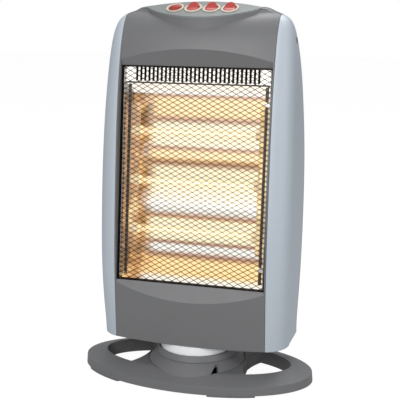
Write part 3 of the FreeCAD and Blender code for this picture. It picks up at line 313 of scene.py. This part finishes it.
def lit_reflector(name, cream, dim):
    """Polished sheet whose emission is painted glow: bands of painted reflection of the lit lamps, and dim
    patches of painted light at its left end.
    """
    finish = Finish(name, metallic=1.0, emission_strength=1.0)
    across, rise = window_rise(finish)
    # Colours of the painted glow: yellow, pale and cream bands of painted reflection, with brown stops of
    # painted shade between them.
    yellow = (0.97, 0.66, 0.30)
    brown = (0.38, 0.15, 0.062)
    pale = (0.95, 0.92, 0.86)
    bands = [
        (0.015, pale), (0.040, yellow), (0.090, yellow), (0.116, brown),
        (0.140, pale), (0.160, pale), (0.176, brown), (0.192, cream), (0.285, cream), (0.303, brown),
        (0.335, pale), (0.360, pale), (0.400, cream), (0.526, cream), (0.556, brown),
        (0.580, yellow), (0.606, yellow), (0.626, brown), (0.642, cream), (0.732, cream), (0.756, brown),
        (0.782, yellow), (0.850, yellow), (0.870, brown), (0.880, pale), (0.940, pale),
    ]
    light = finish.ramp(rise, bands)
    edge = finish.node(
        "ShaderNodeMapRange", {"clamp": True}, {0: across, 1: DIM_UNTIL, 2: BRIGHT_FROM, 3: 0.0, 4: 1.0}
    )
    # Ragged patches of dim painted light towards the left end; the slotted strip is always in the bright
    # painted bands.
    patch = finish.noise(45, 3, 0.6)
    shade = finish.ramp(patch, [(0.42, [c * 0.5 for c in dim]), (0.55, dim), (0.66, yellow)])
    ragged = finish.node("ShaderNodeClamp", inputs={0: edge * 1.8 + patch - 0.9})
    light = finish.mix(ragged + (rise > STRIP_SHARE), shade, light)
    brush = finish.noise(900, 2)
    finish.into("Base Color", finish.mix(brush, (0.20, 0.18, 0.16), (0.28, 0.26, 0.23)))
    finish.into("Roughness", brush * 0.1 + 0.25)
    # The painted glow goes into emission, on the faces that look to the front only.
    finish.into("Emission Color", finish.mix(finish.toward_front(), (0, 0, 0), light))
    finish.into("Normal", finish.bump(finish.noise(220), 0.0002, 0.25))
    return finish.material


def lit_end(name, dim, bright):
    """Flared end of the reflector, with painted light of the lamps in its emission, in patches from dim to
    bright.
    """
    finish = Finish(name, metallic=1.0, emission_strength=0.9)
    patch = finish.noise(45, 3, 0.6)
    finish.into("Base Color", finish.mix(patch, (0.24, 0.20, 0.17), (0.34, 0.30, 0.26)))
    finish.into("Roughness", patch * 0.12 + 0.26)
    light = finish.ramp(patch, [(0.42, [c * 0.5 for c in dim]), (0.55, dim), (0.68, bright)])
    finish.into("Emission Color", finish.mix(finish.toward_front(), (0, 0, 0), light))
    return finish.material


def ceramic_with_painted_glow(name, tint, painted_glow):
    """Matt ceramic with a painted glow in its emission: the light of the lamp it holds."""
    finish = Finish(name, roughness=0.6, emission_strength=0.55)
    cloud = finish.noise(160, 3)
    finish.into("Base Color", finish.mix(cloud, [c * 0.85 for c in tint], tint))
    finish.into("Emission Color", finish.mix(cloud, [c * 0.8 for c in painted_glow], painted_glow))
    finish.into("Normal", finish.bump(finish.noise(700, 1), 0.0001, 0.3))
    return finish.material


def lit_glass(name, tint):
    """Clear quartz with a little glow of its own."""
    finish = Finish(name, roughness=0.08, alpha=0.16, emission_strength=0.8)
    cloud = finish.noise(90)
    finish.into("Base Color", finish.mix(cloud, [c * 0.9 for c in tint], tint))
    finish.into("Emission Color", finish.mix(cloud * 0.3, tint, (1.0, 0.95, 0.82)))
    return finish.material


def lit_wire(name, tint):
    """Wire that glows hot."""
    finish = Finish(name, roughness=0.4, emission_strength=1.6)
    heat = finish.noise(40)
    finish.into("Base Color", finish.mix(heat, [c * 0.5 for c in tint], tint))
    finish.into("Emission Color", finish.mix(heat, tint, (1.0, 0.93, 0.74)))
    return finish.material


def dress(material, *nodes):
    for node in nodes:
        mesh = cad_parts[node].data
        mesh.materials.clear()
        mesh.materials.append(material)


def start():
    """Nothing selected and nothing in edit mode."""
    if bpy.context.object and bpy.context.object.mode != "OBJECT":
        bpy.ops.object.mode_set(mode="OBJECT")
    bpy.ops.object.select_all(action="DESELECT")


def settle(name, material, body, *nodes):
    """Bake a finished piece's place into its mesh, finish it and hand it to its body."""
    piece = bpy.context.object
    bpy.ops.object.transform_apply(location=True, rotation=True, scale=True)
    piece.name = name
    piece.data.name = name
    piece.data.materials.clear()
    piece.data.materials.append(material)
    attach(piece, body)
    if nodes:
        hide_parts(*nodes)
    return piece


def apply_modifier(kind, **settings):
    piece = bpy.context.object
    modifier = piece.modifiers.new(kind.title(), kind)
    for key, setting in settings.items():
        setattr(modifier, key, setting)
    bpy.ops.object.modifier_apply(modifier=modifier.name)


def join(pieces):
    """One object from several, left selected."""
    start()
    for piece in pieces:
        piece.select_set(True)
    bpy.context.view_layer.objects.active = pieces[0]
    bpy.ops.object.join()


class HEATER_OT_base(bpy.types.Operator):
    """Finish the ring base and what it carries"""

    bl_idname = "heater.base"
    bl_label = "Ring base"

    def execute(self, context):
        dress(moulded("base_plastic", colours().dark_base, 0.46, 1500, 0.00012), "base_ring", "base_cover")
        dress(moulded("pad_rubber", colours().dark_base, 0.75, 900, 0.0002), "foot_pads")
        dress(moulded("white_nylon", colours().nylon, 0.38, 1800, 0.00006),
              "turntable_disc", "thrust_ring", "fixed_gear", "drive_pinion", "spindle_washer")
        dress(plain_metal("zinc_steel", (0.55, 0.55, 0.54), 0.28, 800),
              "spindle", "spindle_nut", "spindle_screws", "cover_screws", "disc_screws", "rear_screws")
        return {"FINISHED"}


class HEATER_OT_shell(bpy.types.Operator):
    """Finish the panels of the head"""

    bl_idname = "heater.shell"
    bl_label = "Head shell"

    def execute(self, context):
        dress(moulded("front_plastic", colours().dark_shell, 0.42, 1500, 0.0001), "front_panel")
        dress(painted_silver("silver_paint", colours().silver), "side_panel_left", "side_panel_right")
        dress(moulded("rear_plastic", colours().dark_shell, 0.5, 1300, 0.00014),
              "rear_cover", "bottom_pan", "cable_gland")
        return {"FINISHED"}


class HEATER_OT_guard(bpy.types.Operator):
    """Model the diamond guard and finish its rim"""

    bl_idname = "heater.guard"
    bl_label = "Guard"

    def execute(self, context):
        # Rim and diamonds share this near-black metal, partly painted shade.
        shaded_guard_metal = plain_metal("guard_chrome", colours().strand, 0.36, 600)
        dress(shaded_guard_metal, "guard_rim")
        start()
        bpy.ops.mesh.primitive_grid_add(
            x_subdivisions=GUARD_CELLS, y_subdivisions=GUARD_CELLS, size=GUARD_CELLS * math.sqrt(0.5)
        )
        guard = bpy.context.object
        bpy.ops.object.mode_set(mode="EDIT")
        bpy.ops.mesh.select_all(action="SELECT")
        bpy.ops.transform.rotate(value=math.pi / 4, orient_axis="Z", center_override=(0, 0, 0))
        bpy.ops.transform.resize(
            value=(sizes().diamond_width, sizes().diamond_height, 1), center_override=(0, 0, 0)
        )
        tall = WINDOW_TALL / 2 - GUARD_MARGIN
        for place, direction in (
            ((WINDOW_HALF, 0, 0), (1, 0, 0)), ((-WINDOW_HALF, 0, 0), (-1, 0, 0)),
            ((0, tall, 0), (0, 1, 0)), ((0, -tall, 0), (0, -1, 0)),
        ):
            bpy.ops.mesh.select_all(action="SELECT")
            bpy.ops.mesh.bisect(plane_co=place, plane_no=direction, clear_outer=True)
        bpy.ops.object.mode_set(mode="OBJECT")
        apply_modifier("WIREFRAME", thickness=sizes().strand, use_even_offset=True, use_boundary=True)
        guard.rotation_euler = (math.pi / 2 - WINDOW_LEAN, 0, 0)
        guard.location = in_window(0, GUARD_DEPTH, WINDOW_TALL / 2)
        settle("guard_diamonds", shaded_guard_metal, "head", "guard_mesh")
        return {"FINISHED"}


class HEATER_OT_lamps(bpy.types.Operator):
    """Model the filament coils, the reflector's frame and a dark strip of painted shade, and finish the
    lit lamps, and the reflector, its ends and the lamp caps with painted glow of the lamps
    """

    bl_idname = "heater.lamps"
    bl_label = "Lamps and reflector"

    def execute(self, context):
        cream = tuple(colours().cream)
        orange = tuple(colours().orange)
        dress(lit_reflector("lit_reflector", cream, orange), "reflector")
        # Both ends carry painted light of the lamps: dim at the left, bright at the right.
        amber = (0.97, 0.70, 0.34)
        dress(lit_end("dim_end", orange, amber), "reflector_end_left")
        dress(lit_end("bright_end", amber, cream), "reflector_end_right")
        dress(lit_glass("lit_quartz", colours().glow), "lamp_tubes")
        # The lamp caps carry painted glow of their lamps.
        dress(ceramic_with_painted_glow("cap_ceramic", (0.70, 0.62, 0.48), (0.90, 0.62, 0.30)), "lamp_caps")
        steel = plain_metal("sheet_steel", (0.45, 0.44, 0.43), 0.35, 500)
        dress(steel, "upright_left", "upright_right")
        self.coils()
        # Dark bars, partly painted shade, and light tabs.
        self.bars("frame_and_fold_shade", plain_metal("frame_steel_and_shade", (0.13, 0.11, 0.10), 0.4, 500), FRAME_AND_SHADE_BARS)
        self.bars("frame_tabs", plain_metal("tab_steel", (0.80, 0.78, 0.75), 0.3, 500), FRAME_TABS)
        return {"FINISHED"}

    def coils(self):
        turns = int(COIL_LENGTH / sizes().coil_pitch)
        made = []
        for share in LAMP_SHARES:
            start()
            bpy.ops.mesh.primitive_circle_add(
                vertices=5, radius=sizes().coil_wire, rotation=(math.pi / 2, 0, 0)
            )
            bpy.ops.object.transform_apply(location=False, rotation=True, scale=False)
            bpy.ops.object.mode_set(mode="EDIT")
            bpy.ops.mesh.select_all(action="SELECT")
            bpy.ops.transform.translate(value=(sizes().coil_radius, 0, 0))
            bpy.ops.object.mode_set(mode="OBJECT")
            apply_modifier(
                "SCREW", screw_offset=sizes().coil_pitch, iterations=turns, steps=10, render_steps=10,
                use_normal_calculate=True,
            )
            coil = bpy.context.object
            coil.rotation_euler = (0, math.pi / 2, 0)
            coil.location = in_window(-COIL_LENGTH / 2, LAMP_DEPTH, share * WINDOW_TALL)
            made.append(coil)
        join(made)
        wire = lit_wire("lit_wire", colours().glow)
        settle("lamp_coils", wire, "head", "lamp_filaments")

    def bars(self, name, material, rows):
        made = []
        for across, depth, rise, wide, tall in rows:
            start()
            bpy.ops.mesh.primitive_cube_add(
                size=1, location=in_window(across, depth, rise), rotation=(-WINDOW_LEAN, 0, 0),
                scale=(wide, FRAME_GAUGE, tall),
            )
            bpy.ops.object.transform_apply(location=False, rotation=False, scale=True)
            apply_modifier("BEVEL", width=FRAME_ROUND, segments=3)
            made.append(bpy.context.object)
        join(made)
        settle(name, material, "head")


class HEATER_OT_switches(bpy.types.Operator):
    """Finish the console, its bezels and its rockers"""

    bl_idname = "heater.switches"
    bl_label = "Switch console"

    def execute(self, context):
        dress(moulded("console_plastic", colours().console, 0.36, 1700, 0.00006), "switch_console")
        dress(moulded("bezel_plastic", colours().bezel, 0.36, 1700, 0.00005), "switch_bezels")
        dress(red_plastic("rocker_plastic", colours().rocker),
              "rocker_swing", "rocker_low", "rocker_middle", "rocker_high")
        return {"FINISHED"}


class HEATER_OT_workings(bpy.types.Operator):
    """Finish what is inside the head"""

    bl_idname = "heater.workings"
    bl_label = "Workings"

    def execute(self, context):
        dress(plain_metal("bracket_steel", (0.5, 0.5, 0.5), 0.32, 600),
              "motor_bracket", "swing_motor", "thermal_cutout")
        dress(moulded("insulator", (0.05, 0.05, 0.052), 0.5, 900, 0.0001),
              "switch_bodies", "terminal_block", "tilt_switch")
        dress(moulded("wire_cover", (0.10, 0.03, 0.025), 0.5, 900, 0.0001), "wire_harness")
        return {"FINISHED"}


class HEATER_OT_stage(bpy.types.Operator):
    """Set up the floor, the light and the camera"""

    bl_idname = "heater.stage"
    bl_label = "Stage"

    def execute(self, context):
        scene = context.scene
        scene.view_settings.view_transform = "Standard"
        start()
        bpy.ops.mesh.primitive_plane_add(size=FLOOR_SIZE)
        floor = context.object
        floor.name = "floor"
        finish = Finish("floor_paper", roughness=0.9)
        finish.shader.inputs["Base Color"].default_value = (0.5, 0.5, 0.5, 1)
        seen = finish.node("ShaderNodeLightPath", output="Is Camera Ray")
        lamp = finish.node("ShaderNodeEmission", inputs={"Color": (1, 1, 1, 1), "Strength": 1.16})
        paper = Value(finish, finish.shader.outputs[0])
        both = finish.node("ShaderNodeMixShader", inputs={0: seen * FLOOR_GLOW, 1: paper, 2: lamp})
        finish.tree.links.new(both.socket, finish.tree.nodes["Material Output"].inputs["Surface"])
        floor.data.materials.append(finish.material)

        world = bpy.data.worlds.new("studio")
        scene.world = world
        world.use_nodes = True
        nodes = world.node_tree.nodes
        links = world.node_tree.links
        path = nodes.new("ShaderNodeLightPath")
        clear = nodes.new("ShaderNodeMath")
        clear.operation = "MAXIMUM"
        links.new(path.outputs["Is Camera Ray"], clear.inputs[0])
        links.new(path.outputs["Is Transmission Ray"], clear.inputs[1])
        soft = nodes["Background"]
        soft.inputs["Color"].default_value = (0.97, 0.98, 1, 1)
        soft.inputs["Strength"].default_value = 0.37
        white = nodes.new("ShaderNodeBackground")
        white.inputs["Color"].default_value = (1, 1, 1, 1)
        choose = nodes.new("ShaderNodeMixShader")
        links.new(clear.outputs[0], choose.inputs[0])
        links.new(soft.outputs[0], choose.inputs[1])
        links.new(white.outputs[0], choose.inputs[2])
        links.new(choose.outputs[0], nodes["World Output"].inputs["Surface"])

        target = Vector(LIGHT_TARGET)
        for name, place, wide, power in LIGHTS:
            start()
            bpy.ops.object.light_add(type="AREA", location=place)
            light = context.object
            light.name = name
            light.data.size = wide
            light.data.energy = power
            light.rotation_euler = (target - Vector(place)).to_track_quat("-Z", "Y").to_euler()

        start()
        bpy.ops.object.camera_add(location=CAMERA_PLACE)
        camera = context.object
        camera.rotation_euler = (Vector(CAMERA_AIM) - camera.location).to_track_quat("-Z", "Y").to_euler()
        camera.data.lens = CAMERA_LENS
        camera.data.sensor_width = 36
        camera.data.clip_start = 0.01
        scene.camera = camera
        return {"FINISHED"}


class HEATER_PT_panel(bpy.types.Panel):
    """Steps that model and finish the heater"""

    bl_label = "Heater"
    bl_idname = "HEATER_PT_panel"
    bl_space_type = "VIEW_3D"
    bl_region_type = "UI"
    bl_category = "Heater"

    def draw(self, context):
        for operator in OPERATORS:
            self.layout.operator(operator.bl_idname)
        for group in (context.scene.heater_sizes, context.scene.heater_colours):
            for key in group.__annotations__:
                self.layout.prop(group, key)


OPERATORS = (
    HEATER_OT_base, HEATER_OT_shell, HEATER_OT_guard, HEATER_OT_lamps,
    HEATER_OT_switches, HEATER_OT_workings, HEATER_OT_stage,
)
CLASSES = (HeaterSizes, HeaterColours, *OPERATORS, HEATER_PT_panel)


def register():
    for cls in CLASSES:
        bpy.utils.register_class(cls)
    bpy.types.Scene.heater_sizes = bpy.props.PointerProperty(type=HeaterSizes)
    bpy.types.Scene.heater_colours = bpy.props.PointerProperty(type=HeaterColours)


def unregister():
    del bpy.types.Scene.heater_colours
    del bpy.types.Scene.heater_sizes
    for cls in reversed(CLASSES):
        bpy.utils.unregister_class(cls)


def main():
    register()
    bpy.ops.heater.base()
    bpy.ops.heater.shell()
    bpy.ops.heater.guard()
    bpy.ops.heater.lamps()
    bpy.ops.heater.switches()
    bpy.ops.heater.workings()
    bpy.ops.heater.stage()


if __name__ == "__main__":
    main()
